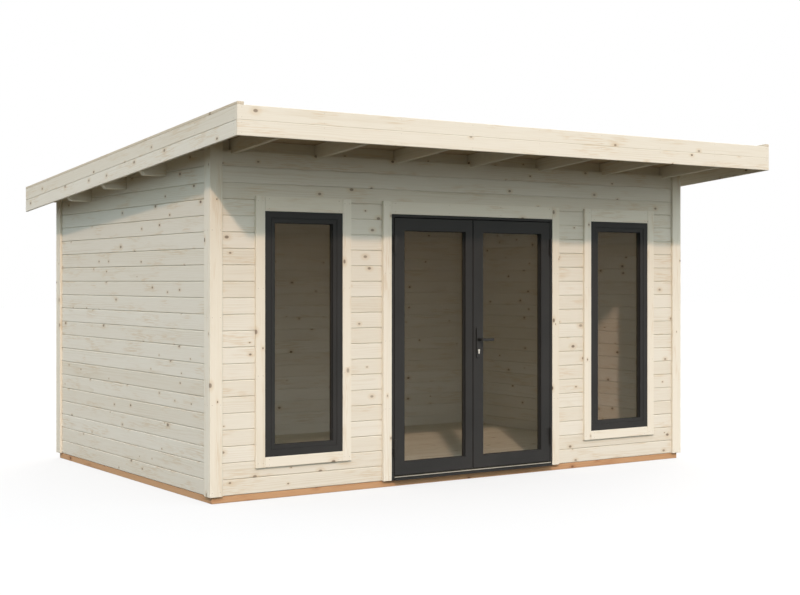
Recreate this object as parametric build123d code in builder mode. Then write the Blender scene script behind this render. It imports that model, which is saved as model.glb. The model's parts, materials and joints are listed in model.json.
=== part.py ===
from build123d import *
import os

os.makedirs("parts", exist_ok=True)

# Wooden garden shed with a single-pitch roof, a glazed double door and two fixed windows.
# Millimetres. +Z is up, the front faces -Y, and the origin is on the ground under the middle of the roof.

# Body, measured over the corner boards
body_width = 4200.0
body_depth = 2834.0
wall_thickness = 44.0
corner_board_width = 90.0
corner_board_thickness = 18.0

# Base and floor
beam_height = 45.0
beam_width = 70.0
beam_inset = 23.0
joist_width = 45.0
joist_count = 5
floor_thickness = 18.0
floor_gap = 4.0

# Roof
roof_fall_share = 0.0768
overhang_front = 751.0
overhang_side = 189.0
overhang_back = 186.0
fascia_thickness = 18.0
fascia_upper_height = 90.0
fascia_lower_height = 92.0
fascia_joint = 1.0
fascia_upstand = 40.0
cap_width = 45.0
cap_thickness = 18.0
deck_thickness = 18.0
felt_thickness = 3.0
felt_turn = 40.0
rafter_width = 40.0
rafter_depth = 95.0
rafter_tail_depth = 40.0
rafter_count = 7
rafter_end_inset = 177.0
rafter_notch = 26.0
lookout_width = 45.0
lookout_depth = 145.0
lookout_chamfer = 30.0
lookout_place_shares = (0.26, 0.505, 0.75)
eaves_block_thickness = 18.0

# Openings in the front wall: the group of door and windows lies a little right of the middle
opening_shift = 16.5
head_height = 1900.0
window_head_drop = 6.5
head_wall_height = 383.0
casing_width = 68.0
head_casing_width = 90.0
casing_arris = 3.0
window_shift = 17.0
window_width = 595.5
window_sill_height = 277.0
door_frame_width = 1453.5

# Windows: frame, sash and pane
frame_arris = 2.0
window_casing_thickness = 18.0
window_frame_proud = 16.0
window_frame_face = 44.0
sash_gap = 3.0
sash_setback = 3.0
sash_face = 28.0
sash_thickness = 45.0
sash_stop = 12.0
sash_glass_recess = 27.0

# Glass, in grooves of the sashes and door leaves
glass_thickness = 6.0
glass_groove = 8.0
glass_play = 0.3

# Door frame and threshold
door_casing_thickness = 25.0
door_frame_setback = 2.0
jamb_face = 20.0
stop_gap = 5.0
stop_lap = 12.0
sill_height = 20.0
strip_thickness = 8.0
strip_nose = 8.0
strip_nose_drop = 3.0
strip_bar_width = 12.0
strip_bar_height = 16.0
strip_bar_bevel = 4.0

# Door leaves: the meeting gap lies a little left of the middle
leaf_thickness = 45.0
door_gap = 5.0
meeting_gap = 7.0
meeting_offset = 20.0
hinge_stile = 84.0
left_meeting_stile = 64.0
right_meeting_stile = 90.0
top_rail = 88.0
bottom_rail = 89.0
leaf_glass_recess = 32.0

# Lift-off hinges: the lower half with its pin is on the jamb, the upper half on the leaf
hinge_radius = 8.0
hinge_length = 130.0
hinge_standoff = 2.0
hinge_pin_radius = 4.0
hinge_pin_play = 0.1
hinge_pin_end_gap = 2.0
hinge_end_play = 0.4
hinge_cap = 8.0
hinge_cap_round = 3.0
hinge_flap_thickness = 3.0
hinge_flap_inset = 8.0
jamb_flap_width = 18.0
leaf_flap_width = 30.0
low_hinge_inset = 190.0
high_hinge_inset = 187.0

# Lever handle and lock on the right leaf
handle_height = 1009.0
handle_place = 26.0
plate_width = 38.0
plate_height = 216.0
plate_drop = 131.0
plate_thickness = 8.0
plate_corner = 6.0
spindle_radius = 5.0
spindle_play = 0.1
spindle_grip = 12.0
lever_gap = 0.5
lever_standoff = 46.0
inner_lever_standoff = 38.0
lever_reach = 100.0
lever_bend = 16.0
lever_width = 20.0
lever_thickness = 13.0
lever_round = 5.0
lever_tip_round = 3.0
lock_drop = 78.0
lock_radius = 8.5
lock_lobe_radius = 5.0
lock_lobe_drop = 20.0
lock_proud = 3.0
lock_play = 0.3

# Overrun of cuts past the faces that they open
overrun = 10.0

# Faces of the body, from the front to the back and from the middle to the sides
roof_depth = overhang_front + body_depth + overhang_back
roof_front = -roof_depth / 2
roof_back = roof_depth / 2
body_front = roof_front + overhang_front
body_back = body_front + body_depth
body_side = body_width / 2
wall_front = body_front + corner_board_thickness
wall_back = body_back - corner_board_thickness
wall_side = body_side - corner_board_thickness
room_front = wall_front + wall_thickness
room_back = wall_back - wall_thickness
room_side = wall_side - wall_thickness

# Faces of the roof's edge boards
roof_side = body_side + overhang_side
fascia_inner = roof_front + fascia_thickness
back_fascia_outer = roof_back - felt_thickness
back_fascia_inner = back_fascia_outer - fascia_thickness
barge_inner = roof_side - fascia_thickness

# Roof layers over the front face of the fascia; the rafters sit in notches of the front wall's top
front_wall_top = head_height + head_wall_height
rafter_under = front_wall_top - rafter_notch + roof_fall_share * (wall_front - roof_front)
deck_under = rafter_under + rafter_depth
deck_top = deck_under + deck_thickness
back_fascia_under = deck_under - rafter_tail_depth
roof_height = deck_top + felt_thickness + fascia_upstand
lookout_under = deck_under - lookout_depth
fascia_split = roof_height - fascia_upper_height
fascia_lower_top = fascia_split - fascia_joint
fascia_under = fascia_lower_top - fascia_lower_height


def roof_line(height, y):
    """Height at depth y of a line parallel to the roof that stands at this height over the fascia."""
    return height - roof_fall_share * (y - roof_front)


def band(low, high, y0, y1):
    """Corners of a layer of the roof between two plumb ends, in a side view."""
    return [
        (y0, roof_line(low, y0)),
        (y1, roof_line(low, y1)),
        (y1, roof_line(high, y1)),
        (y0, roof_line(high, y0)),
    ]


def upright(bottom, y0, y1):
    """Corners of an upright piece that stands on a level and is cut to the underside of the deck."""
    return [
        (y0, bottom),
        (y1, bottom),
        (y1, roof_line(deck_under, y1)),
        (y0, roof_line(deck_under, y0)),
    ]


def area(x0, x1, y0, y1, mode=Mode.ADD):
    """Rectangle of the open sketch between two opposite corners."""
    with Locations(((x0 + x1) / 2, (y0 + y1) / 2)):
        Rectangle(abs(x1 - x0), abs(y1 - y0), mode=mode)


def opening_face(y):
    """Sketch plane that faces the front at depth y, with its origin in the middle of the doorway."""
    return Plane((opening_shift, y, 0), x_dir=(1, 0, 0), z_dir=(0, -1, 0))


def doorway_level(z):
    """Level sketch plane at height z, with its origin in the middle of the doorway."""
    return Plane((opening_shift, 0, z))


def lock_outline(x, z, play=0.0):
    """Outline of a profile lock cylinder: a round plug over a narrower rounded lobe."""
    with Locations((x, z)):
        Circle(lock_radius + play)
    area(x - lock_lobe_radius - play, x + lock_lobe_radius + play, z - lock_lobe_drop, z)
    with Locations((x, z - lock_lobe_drop)):
        Circle(lock_lobe_radius + play)


# Base: treated beams on the ground with joists between them
beam_front = body_front + beam_inset
beam_back = body_back - beam_inset
beam_side = body_side - beam_inset
joist_spacing = 2 * (beam_side - beam_width) / (joist_count + 1)
joist_length = beam_back - beam_front - 2 * beam_width
beam_middle = (beam_front + beam_back) / 2

with BuildPart() as base_long_beams:
    with BuildSketch(Plane.XY):
        area(-beam_side, beam_side, beam_front, beam_front + beam_width)
        area(-beam_side, beam_side, beam_back - beam_width, beam_back)
    extrude(amount=beam_height)
base_long_beams.part.label = "base_long_beams"
export_step(base_long_beams.part, "parts/base_long_beams.step")

with BuildPart() as base_end_beams:
    with BuildSketch(Plane.XY):
        area(-beam_side, beam_width - beam_side, beam_front + beam_width, beam_back - beam_width)
        area(beam_side - beam_width, beam_side, beam_front + beam_width, beam_back - beam_width)
    extrude(amount=beam_height)
base_end_beams.part.label = "base_end_beams"
export_step(base_end_beams.part, "parts/base_end_beams.step")

with BuildPart() as floor_joists:
    with BuildSketch(Plane.XY):
        with Locations((0, beam_middle)):
            with GridLocations(joist_spacing, 0, joist_count, 1):
                Rectangle(joist_width, joist_length)
    extrude(amount=beam_height)
floor_joists.part.label = "floor_joists"
export_step(floor_joists.part, "parts/floor_joists.step")

with BuildPart() as floor:
    with BuildSketch(Plane.XY.offset(beam_height)):
        area(floor_gap - room_side, room_side - floor_gap, room_front + floor_gap, room_back - floor_gap)
    extrude(amount=floor_thickness)
floor.part.label = "floor"
export_step(floor.part, "parts/floor.step")

# Rafters: they sit in pockets of the front and back walls, run out to the fascias and taper at the back
rafter_spacing = (body_width - 2 * rafter_end_inset) / (rafter_count - 1)
rafter_faces = [
    rafter_end_inset - body_side + place * rafter_spacing - rafter_width / 2 for place in range(rafter_count)
]
rafter_planes = [Plane.YZ.offset(x) for x in rafter_faces]
rafter_outline = [
    (fascia_inner, roof_line(rafter_under, fascia_inner)),
    (body_back, roof_line(rafter_under, body_back)),
    (back_fascia_inner, roof_line(back_fascia_under, back_fascia_inner)),
    (back_fascia_inner, roof_line(deck_under, back_fascia_inner)),
    (fascia_inner, roof_line(deck_under, fascia_inner)),
]
rafter_pocket = band(rafter_under, roof_height, fascia_inner, back_fascia_inner)
back_wall_top = roof_line(rafter_under, wall_back) + rafter_notch

with BuildPart() as rafters:
    with BuildSketch(*rafter_planes):
        with BuildLine():
            Polyline(*rafter_outline, close=True)
        make_face()
    extrude(amount=rafter_width)
rafters.part.label = "rafters"
export_step(rafters.part, "parts/rafters.step")

# Front wall: a panel each side of the doorway, open round its window, and a head notched for the door frame
door_half = door_frame_width / 2
window_head = head_height - window_head_drop
window_place = (door_half + casing_width + body_side - corner_board_width) / 2 + window_shift
window_near = window_place - window_width / 2
window_far = window_place + window_width / 2

for name, side in (("left", -1), ("right", 1)):
    with BuildPart() as front_panel:
        with BuildSketch(Plane.XZ.offset(-room_front)):
            area(opening_shift + side * door_half, side * wall_side, beam_height, window_head)
            area(
                opening_shift + side * window_near,
                opening_shift + side * window_far,
                window_sill_height,
                window_head + overrun,
                mode=Mode.SUBTRACT,
            )
        extrude(amount=wall_thickness)
    front_panel.part.label = f"front_wall_{name}"
    export_step(front_panel.part, f"parts/front_wall_{name}.step")

with BuildPart() as front_wall_head:
    with BuildSketch(Plane.XZ.offset(-room_front)):
        area(-wall_side, wall_side, window_head, front_wall_top)
        area(
            opening_shift - door_half,
            opening_shift + door_half,
            window_head - overrun,
            head_height,
            mode=Mode.SUBTRACT,
        )
    extrude(amount=wall_thickness)
    with BuildSketch(*rafter_planes):
        with BuildLine():
            Polyline(*rafter_pocket, close=True)
        make_face()
    extrude(amount=rafter_width, mode=Mode.SUBTRACT)
front_wall_head.part.label = "front_wall_head"
export_step(front_wall_head.part, "parts/front_wall_head.step")

with BuildPart() as back_wall:
    with BuildSketch(Plane.XZ.offset(-wall_back)):
        area(-wall_side, wall_side, beam_height, back_wall_top)
    extrude(amount=wall_thickness)
    with BuildSketch(*rafter_planes):
        with BuildLine():
            Polyline(*rafter_pocket, close=True)
        make_face()
    extrude(amount=rafter_width, mode=Mode.SUBTRACT)
back_wall.part.label = "back_wall"
export_step(back_wall.part, "parts/back_wall.step")

# Lookouts: short timbers from the outer rafter through the side wall to the barge board
lookout_starts = [body_front + share * body_depth - lookout_width / 2 for share in lookout_place_shares]
outer_rafter_face = body_side - rafter_end_inset + rafter_width / 2
lookout_length = barge_inner - outer_rafter_face

for name, side in (("left", -1), ("right", 1)):
    with BuildPart() as side_wall:
        with BuildSketch(Plane.YZ.offset(side * (room_side + wall_side) / 2)):
            with BuildLine():
                Polyline(*upright(beam_height, room_front, room_back), close=True)
            make_face()
            for start in lookout_starts:
                with BuildLine():
                    Polyline(*band(lookout_under, roof_height, start, start + lookout_width), close=True)
                make_face(mode=Mode.SUBTRACT)
        extrude(amount=wall_thickness / 2, both=True)
    side_wall.part.label = f"{name}_wall"
    export_step(side_wall.part, f"parts/{name}_wall.step")

with BuildPart() as lookouts:
    for side in (-1, 1):
        for start in lookout_starts:
            with BuildSketch(Plane.YZ.offset(side * (barge_inner + outer_rafter_face) / 2)):
                with BuildLine():
                    Polyline(*band(lookout_under, deck_under, start, start + lookout_width), close=True)
                make_face()
            extrude(amount=lookout_length / 2, both=True)
    outer_ends = lookouts.faces().filter_by(Axis.X).filter_by_position(Axis.X, -barge_inner, -barge_inner)
    outer_ends += lookouts.faces().filter_by(Axis.X).filter_by_position(Axis.X, barge_inner, barge_inner)
    lower_edges = [end.edges().sort_by(Axis.Z)[0] for end in outer_ends]
    chamfer(lower_edges, length=lookout_chamfer)
lookouts.part.label = "lookouts"
export_step(lookouts.part, "parts/lookouts.step")

# Eaves blocks: they close the gaps between the rafters, set back to the inner face of each wall
block_starts = [-wall_side] + [x + rafter_width for x in rafter_faces]
block_ends = rafter_faces + [wall_side]

with BuildPart() as eaves_blocks:
    for start, end in zip(block_starts, block_ends):
        with BuildSketch(Plane.YZ.offset(start)):
            with BuildLine():
                Polyline(*upright(front_wall_top, room_front - eaves_block_thickness, room_front), close=True)
            make_face()
            with BuildLine():
                Polyline(*upright(back_wall_top, room_back, room_back + eaves_block_thickness), close=True)
            make_face()
        extrude(amount=end - start)
eaves_blocks.part.label = "eaves_blocks"
export_step(eaves_blocks.part, "parts/eaves_blocks.step")

# Corner boards: the boards on the front and back cover the edges of those on the sides
with BuildPart() as front_back_corner_boards:
    for start in (-body_side, body_side - corner_board_width):
        with BuildSketch(Plane.YZ.offset(start)):
            with BuildLine():
                Polyline(*upright(beam_height, body_front, wall_front), close=True)
            make_face()
            with BuildLine():
                Polyline(*upright(beam_height, wall_back, body_back), close=True)
            make_face()
        extrude(amount=corner_board_width)
front_back_corner_boards.part.label = "front_back_corner_boards"
export_step(front_back_corner_boards.part, "parts/front_back_corner_boards.step")

with BuildPart() as side_corner_boards:
    for start in (-body_side, wall_side):
        with BuildSketch(Plane.YZ.offset(start)):
            with BuildLine():
                Polyline(*upright(beam_height, wall_front, body_front + corner_board_width), close=True)
            make_face()
            with BuildLine():
                Polyline(*upright(beam_height, body_back - corner_board_width, wall_back), close=True)
            make_face()
        extrude(amount=corner_board_thickness)
side_corner_boards.part.label = "side_corner_boards"
export_step(side_corner_boards.part, "parts/side_corner_boards.step")

# Roof deck and the felt on it, which turns down over the back fascia
with BuildPart() as roof_deck:
    with BuildSketch(Plane.YZ.offset(-barge_inner)):
        with BuildLine():
            Polyline(*band(deck_under, deck_top, fascia_inner, back_fascia_inner), close=True)
        make_face()
    extrude(amount=2 * barge_inner)
roof_deck.part.label = "roof_deck"
export_step(roof_deck.part, "parts/roof_deck.step")

felt_top = deck_top + felt_thickness
felt_edge = roof_line(deck_top, back_fascia_outer) - felt_turn
felt_outline = [
    (fascia_inner, roof_line(felt_top, fascia_inner)),
    (fascia_inner, roof_line(deck_top, fascia_inner)),
    (back_fascia_outer, roof_line(deck_top, back_fascia_outer)),
    (back_fascia_outer, felt_edge),
    (roof_back, felt_edge),
    (roof_back, roof_line(felt_top, roof_back)),
]

with BuildPart() as roof_felt:
    with BuildSketch(Plane.YZ.offset(-barge_inner)):
        with BuildLine():
            Polyline(*felt_outline, close=True)
        make_face()
    extrude(amount=2 * barge_inner)
roof_felt.part.label = "roof_felt"
export_step(roof_felt.part, "parts/roof_felt.step")

# Edge boards of the roof: two boards one over the other at the front and sides, one at the back
front_fascia_lower = [
    (roof_front, fascia_under),
    (fascia_inner, fascia_under),
    (fascia_inner, fascia_lower_top),
    (roof_front, fascia_lower_top),
]
front_fascia_upper = [
    (roof_front, fascia_split),
    (fascia_inner, fascia_split),
    (fascia_inner, roof_line(roof_height, fascia_inner)),
    (roof_front, roof_height),
]

with BuildPart() as front_fascia:
    with BuildSketch(Plane.YZ.offset(-roof_side)):
        with BuildLine():
            Polyline(*front_fascia_lower, close=True)
        make_face()
        with BuildLine():
            Polyline(*front_fascia_upper, close=True)
        make_face()
    extrude(amount=2 * roof_side)
front_fascia.part.label = "front_fascia"
export_step(front_fascia.part, "parts/front_fascia.step")

with BuildPart() as back_fascia:
    with BuildSketch(Plane.YZ.offset(-barge_inner)):
        with BuildLine():
            Polyline(*band(back_fascia_under, deck_top, back_fascia_inner, back_fascia_outer), close=True)
        make_face()
    extrude(amount=2 * barge_inner)
back_fascia.part.label = "back_fascia"
export_step(back_fascia.part, "parts/back_fascia.step")

with BuildPart() as barge_boards:
    with BuildSketch(*[Plane.YZ.offset(x) for x in (-roof_side, barge_inner)]):
        with BuildLine():
            Polyline(*band(fascia_under, fascia_lower_top, fascia_inner, roof_back), close=True)
        make_face()
        with BuildLine():
            Polyline(*band(fascia_split, roof_height, fascia_inner, roof_back), close=True)
        make_face()
    extrude(amount=fascia_thickness)
barge_boards.part.label = "barge_boards"
export_step(barge_boards.part, "parts/barge_boards.step")

with BuildPart() as barge_caps:
    with BuildSketch(*[Plane.YZ.offset(x) for x in (-roof_side, roof_side - cap_width)]):
        with BuildLine():
            Polyline(*band(roof_height, roof_height + cap_thickness, roof_front, roof_back), close=True)
        make_face()
    extrude(amount=cap_width)
barge_caps.part.label = "barge_caps"
export_step(barge_caps.part, "parts/barge_caps.step")

# Windows: a frame with a stop, a sash against the stop and a pane in the sash's groove
window_frame_front = wall_front - window_frame_proud
sash_front = window_frame_front + sash_setback
sash_back = sash_front + sash_thickness
sash_inset = window_frame_face + sash_gap
sash_glass_inset = sash_inset + sash_face
stop_inset = window_frame_face + sash_stop
sash_glass_back = sash_front + sash_glass_recess + glass_thickness
pane_inset = sash_glass_inset - glass_groove

for name, side in (("left", -1), ("right", 1)):
    low = side * window_place - window_width / 2
    high = side * window_place + window_width / 2

    with BuildPart() as window_frame:
        with BuildSketch(opening_face(room_front)):
            area(low, high, window_sill_height, window_head)
            area(
                low + stop_inset,
                high - stop_inset,
                window_sill_height + stop_inset,
                window_head - stop_inset,
                mode=Mode.SUBTRACT,
            )
        extrude(amount=room_front - sash_back)
        with BuildSketch(opening_face(sash_back)):
            area(low, high, window_sill_height, window_head)
            area(
                low + window_frame_face,
                high - window_frame_face,
                window_sill_height + window_frame_face,
                window_head - window_frame_face,
                mode=Mode.SUBTRACT,
            )
        extrude(amount=sash_back - window_frame_front)
        chamfer(window_frame.faces().sort_by(Axis.Y)[0].edges(), length=frame_arris)
    window_frame.part.label = f"{name}_window_frame"
    export_step(window_frame.part, f"parts/{name}_window_frame.step")

    with BuildPart() as window_sash:
        with BuildSketch(opening_face(sash_back)):
            area(
                low + sash_inset,
                high - sash_inset,
                window_sill_height + sash_inset,
                window_head - sash_inset,
            )
            area(
                low + sash_glass_inset,
                high - sash_glass_inset,
                window_sill_height + sash_glass_inset,
                window_head - sash_glass_inset,
                mode=Mode.SUBTRACT,
            )
        extrude(amount=sash_thickness)
        chamfer(window_sash.faces().sort_by(Axis.Y)[0].edges(), length=frame_arris)
        with BuildSketch(opening_face(sash_glass_back)):
            area(
                low + pane_inset,
                high - pane_inset,
                window_sill_height + pane_inset,
                window_head - pane_inset,
            )
        extrude(amount=glass_thickness, mode=Mode.SUBTRACT)
    window_sash.part.label = f"{name}_window_sash"
    export_step(window_sash.part, f"parts/{name}_window_sash.step")

    with BuildPart() as window_glass:
        with BuildSketch(opening_face(sash_glass_back)):
            area(
                low + pane_inset + glass_play,
                high - pane_inset - glass_play,
                window_sill_height + pane_inset + glass_play,
                window_head - pane_inset - glass_play,
            )
        extrude(amount=glass_thickness)
    window_glass.part.label = f"{name}_window_glass"
    export_step(window_glass.part, f"parts/{name}_window_glass.step")

# Window casings: uprights at full height with cross pieces between them
casing_top = head_height + head_casing_width
window_casing_bottom = window_sill_height - casing_width

with BuildPart() as window_side_casings:
    with BuildSketch(opening_face(wall_front)):
        for side in (-1, 1):
            near = side * window_near
            far = side * window_far
            area(near, near - side * casing_width, window_casing_bottom, casing_top)
            area(far, far + side * casing_width, window_casing_bottom, casing_top)
    extrude(amount=window_casing_thickness)
    chamfer(window_side_casings.faces().group_by(Axis.Y)[0].edges(), length=casing_arris)
window_side_casings.part.label = "window_side_casings"
export_step(window_side_casings.part, "parts/window_side_casings.step")

with BuildPart() as window_cross_casings:
    with BuildSketch(opening_face(wall_front)):
        for side in (-1, 1):
            area(side * window_near, side * window_far, window_head, casing_top)
            area(side * window_near, side * window_far, window_casing_bottom, window_sill_height)
    extrude(amount=window_casing_thickness)
    chamfer(window_cross_casings.faces().group_by(Axis.Y)[0].edges(), length=casing_arris)
window_cross_casings.part.label = "window_cross_casings"
export_step(window_cross_casings.part, "parts/window_cross_casings.step")

# Door casings
with BuildPart() as door_side_casings:
    with BuildSketch(opening_face(wall_front)):
        area(-door_half - casing_width, -door_half, beam_height, casing_top)
        area(door_half, door_half + casing_width, beam_height, casing_top)
    extrude(amount=door_casing_thickness)
    chamfer(door_side_casings.faces().group_by(Axis.Y)[0].edges(), length=casing_arris)
door_side_casings.part.label = "door_side_casings"
export_step(door_side_casings.part, "parts/door_side_casings.step")

with BuildPart() as door_head_casing:
    with BuildSketch(opening_face(wall_front)):
        area(-door_half, door_half, head_height, casing_top)
    extrude(amount=door_casing_thickness)
    chamfer(door_head_casing.faces().group_by(Axis.Y)[0].edges(), length=casing_arris)
door_head_casing.part.label = "door_head_casing"
export_step(door_head_casing.part, "parts/door_head_casing.step")

# Door frame: jambs and head with a stop behind the leaves, a sill and a metal threshold on it
door_front = wall_front - door_casing_thickness + door_frame_setback
leaf_back = door_front + leaf_thickness
stop_front = leaf_back + stop_gap
jamb_inner = door_half - jamb_face
leaf_outer = jamb_inner - door_gap
stop_inner = leaf_outer - stop_lap
sill_top = beam_height + sill_height
strip_top = sill_top + strip_thickness
leaf_bottom = strip_top + door_gap
head_under = head_height - jamb_face
leaf_top = head_under - door_gap

with BuildPart() as door_jambs:
    with BuildSketch(doorway_level(beam_height)):
        for side in (-1, 1):
            area(side * jamb_inner, side * door_half, door_front, room_front)
            area(side * stop_inner, side * jamb_inner, stop_front, room_front)
    extrude(amount=head_height - beam_height)
    chamfer(door_jambs.edges().filter_by(Axis.Z).group_by(Axis.Y)[0], length=frame_arris)
door_jambs.part.label = "door_jambs"
export_step(door_jambs.part, "parts/door_jambs.step")

with BuildPart() as door_head:
    with BuildSketch(opening_face(stop_front)):
        area(-jamb_inner, jamb_inner, head_under, head_height)
    extrude(amount=stop_front - door_front)
    chamfer(door_head.edges().filter_by(Axis.X).group_by(Axis.Y)[0], length=frame_arris)
    with BuildSketch(opening_face(room_front)):
        area(-stop_inner, stop_inner, leaf_top - stop_lap, head_height)
    extrude(amount=room_front - stop_front)
door_head.part.label = "door_head"
export_step(door_head.part, "parts/door_head.step")

with BuildPart() as door_sill:
    with BuildSketch(doorway_level(beam_height)):
        area(-jamb_inner, jamb_inner, door_front, stop_front)
        area(-stop_inner, stop_inner, stop_front, room_front)
    extrude(amount=sill_height)
door_sill.part.label = "door_sill"
export_step(door_sill.part, "parts/door_sill.step")

strip_front = door_front - strip_nose
strip_bar_back = stop_front + strip_bar_width
strip_bar_top = strip_top + strip_bar_height
tread_outline = [
    (strip_front, sill_top),
    (stop_front, sill_top),
    (stop_front, strip_top),
    (door_front, strip_top),
    (strip_front, strip_top - strip_nose_drop),
]
bar_outline = [
    (stop_front, sill_top),
    (room_front, sill_top),
    (room_front, strip_top),
    (strip_bar_back, strip_top),
    (strip_bar_back, strip_bar_top),
    (stop_front + strip_bar_bevel, strip_bar_top),
    (stop_front, strip_bar_top - strip_bar_bevel),
]

with BuildPart() as threshold_strip:
    with BuildSketch(Plane.YZ.offset(opening_shift)):
        with BuildLine():
            Polyline(*tread_outline, close=True)
        make_face()
    extrude(amount=jamb_inner, both=True)
    with BuildSketch(Plane.YZ.offset(opening_shift)):
        with BuildLine():
            Polyline(*bar_outline, close=True)
        make_face()
    extrude(amount=stop_inner, both=True)
threshold_strip.part.label = "threshold_strip"
export_step(threshold_strip.part, "parts/threshold_strip.step")

# Door leaves: a framed rim with a groove for its pane; the right leaf is bored for the lock
lock_height = handle_height - lock_drop
spindle_hole_radius = spindle_radius + spindle_play
leaf_glass_back = door_front + leaf_glass_recess + glass_thickness
glass_bottom = leaf_bottom + bottom_rail
glass_top = leaf_top - top_rail
leaf_spans = {
    "left": (-leaf_outer, -meeting_offset - meeting_gap / 2),
    "right": (meeting_gap / 2 - meeting_offset, leaf_outer),
}
leaf_stiles = {"left": (hinge_stile, left_meeting_stile), "right": (right_meeting_stile, hinge_stile)}
lock_places = {"left": [], "right": [handle_place]}

for name in ("left", "right"):
    low, high = leaf_spans[name]
    glass_low = low + leaf_stiles[name][0]
    glass_high = high - leaf_stiles[name][1]

    with BuildPart() as door_leaf:
        with BuildSketch(opening_face(leaf_back)):
            area(low, high, leaf_bottom, leaf_top)
            area(glass_low, glass_high, glass_bottom, glass_top, mode=Mode.SUBTRACT)
        extrude(amount=leaf_thickness)
        chamfer(door_leaf.faces().sort_by(Axis.Y)[0].edges(), length=frame_arris)
        with BuildSketch(opening_face(leaf_glass_back)):
            area(
                glass_low - glass_groove,
                glass_high + glass_groove,
                glass_bottom - glass_groove,
                glass_top + glass_groove,
            )
        extrude(amount=glass_thickness, mode=Mode.SUBTRACT)
        for place in lock_places[name]:
            with BuildSketch(opening_face(leaf_back)):
                with Locations((place, handle_height)):
                    Circle(spindle_hole_radius)
                lock_outline(place, lock_height, lock_play)
            extrude(amount=leaf_thickness, mode=Mode.SUBTRACT)
    door_leaf.part.label = f"{name}_door_leaf"
    export_step(door_leaf.part, f"parts/{name}_door_leaf.step")

    with BuildPart() as door_glass:
        with BuildSketch(opening_face(leaf_glass_back)):
            area(
                glass_low - glass_groove + glass_play,
                glass_high + glass_groove - glass_play,
                glass_bottom - glass_groove + glass_play,
                glass_top + glass_groove - glass_play,
            )
        extrude(amount=glass_thickness)
    door_glass.part.label = f"{name}_door_glass"
    export_step(door_glass.part, f"parts/{name}_door_glass.step")

# Hinges: the pin's axis stands in front of the gap between leaf and jamb
hinge_axis_x = leaf_outer + door_gap / 2
hinge_axis_y = door_front - hinge_standoff - hinge_radius
hinge_heights = (leaf_bottom + low_hinge_inset, leaf_top - high_hinge_inset)
hinge_half = hinge_length / 2
flap_front = door_front - hinge_flap_thickness
flap_height = hinge_half - hinge_flap_inset - hinge_end_play
bore_depth = hinge_half - hinge_end_play - hinge_cap

with BuildPart() as jamb_hinge_halves:
    for middle in hinge_heights:
        barrel_end = middle - hinge_half
        with BuildSketch(doorway_level(barrel_end)):
            with Locations((-hinge_axis_x, hinge_axis_y), (hinge_axis_x, hinge_axis_y)):
                Circle(hinge_radius)
        extrude(amount=hinge_half)
        with BuildSketch(doorway_level(middle - flap_height)):
            for side in (-1, 1):
                axis_x = side * hinge_axis_x
                area(axis_x, axis_x + side * jamb_flap_width, flap_front, door_front)
        extrude(amount=flap_height)
        with BuildSketch(doorway_level(middle)):
            with Locations((-hinge_axis_x, hinge_axis_y), (hinge_axis_x, hinge_axis_y)):
                Circle(hinge_pin_radius)
        extrude(amount=hinge_end_play + bore_depth - hinge_pin_end_gap)
        rims = jamb_hinge_halves.edges().filter_by(GeomType.CIRCLE)
        fillet(rims.filter_by_position(Axis.Z, barrel_end, barrel_end), radius=hinge_cap_round)
jamb_hinge_halves.part.label = "jamb_hinge_halves"
export_step(jamb_hinge_halves.part, "parts/jamb_hinge_halves.step")

for name, side in (("left", -1), ("right", 1)):
    axis_x = side * hinge_axis_x
    with BuildPart() as leaf_hinges:
        for middle in hinge_heights:
            barrel_start = middle + hinge_end_play
            barrel_end = middle + hinge_half
            with BuildSketch(doorway_level(barrel_start)):
                with Locations((axis_x, hinge_axis_y)):
                    Circle(hinge_radius)
            extrude(amount=barrel_end - barrel_start)
            with BuildSketch(doorway_level(barrel_start)):
                area(axis_x, axis_x - side * leaf_flap_width, flap_front, door_front)
            extrude(amount=flap_height)
            with BuildSketch(doorway_level(barrel_start)):
                with Locations((axis_x, hinge_axis_y)):
                    Circle(hinge_pin_radius + hinge_pin_play)
            extrude(amount=bore_depth, mode=Mode.SUBTRACT)
            rims = leaf_hinges.edges().filter_by(GeomType.CIRCLE)
            fillet(rims.filter_by_position(Axis.Z, barrel_end, barrel_end), radius=hinge_cap_round)
    leaf_hinges.part.label = f"{name}_leaf_hinges"
    export_step(leaf_hinges.part, f"parts/{name}_leaf_hinges.step")

# Handle: a plate on each face of the leaf, a lever on each side of one spindle, and the lock cylinder
plate_low = handle_height - plate_drop
plate_front = door_front - plate_thickness
plate_back = leaf_back + plate_thickness

with BuildPart() as handle_plates:
    for face in (door_front, plate_back):
        with BuildSketch(opening_face(face)):
            with Locations((handle_place, plate_low + plate_height / 2)):
                RectangleRounded(plate_width, plate_height, plate_corner)
            with Locations((handle_place, handle_height)):
                Circle(spindle_hole_radius, mode=Mode.SUBTRACT)
        extrude(amount=plate_thickness)
    with BuildSketch(opening_face(plate_back)):
        lock_outline(handle_place, lock_height, lock_play)
    extrude(amount=plate_back - plate_front, mode=Mode.SUBTRACT)
handle_plates.part.label = "handle_plates"
export_step(handle_plates.part, "parts/handle_plates.step")

lever_front = plate_front - lever_standoff
lever_back = plate_back + inner_lever_standoff
lever_tip = handle_place + lever_reach
spindle_start = plate_back + spindle_grip
spindle_end = plate_front - spindle_grip

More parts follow.
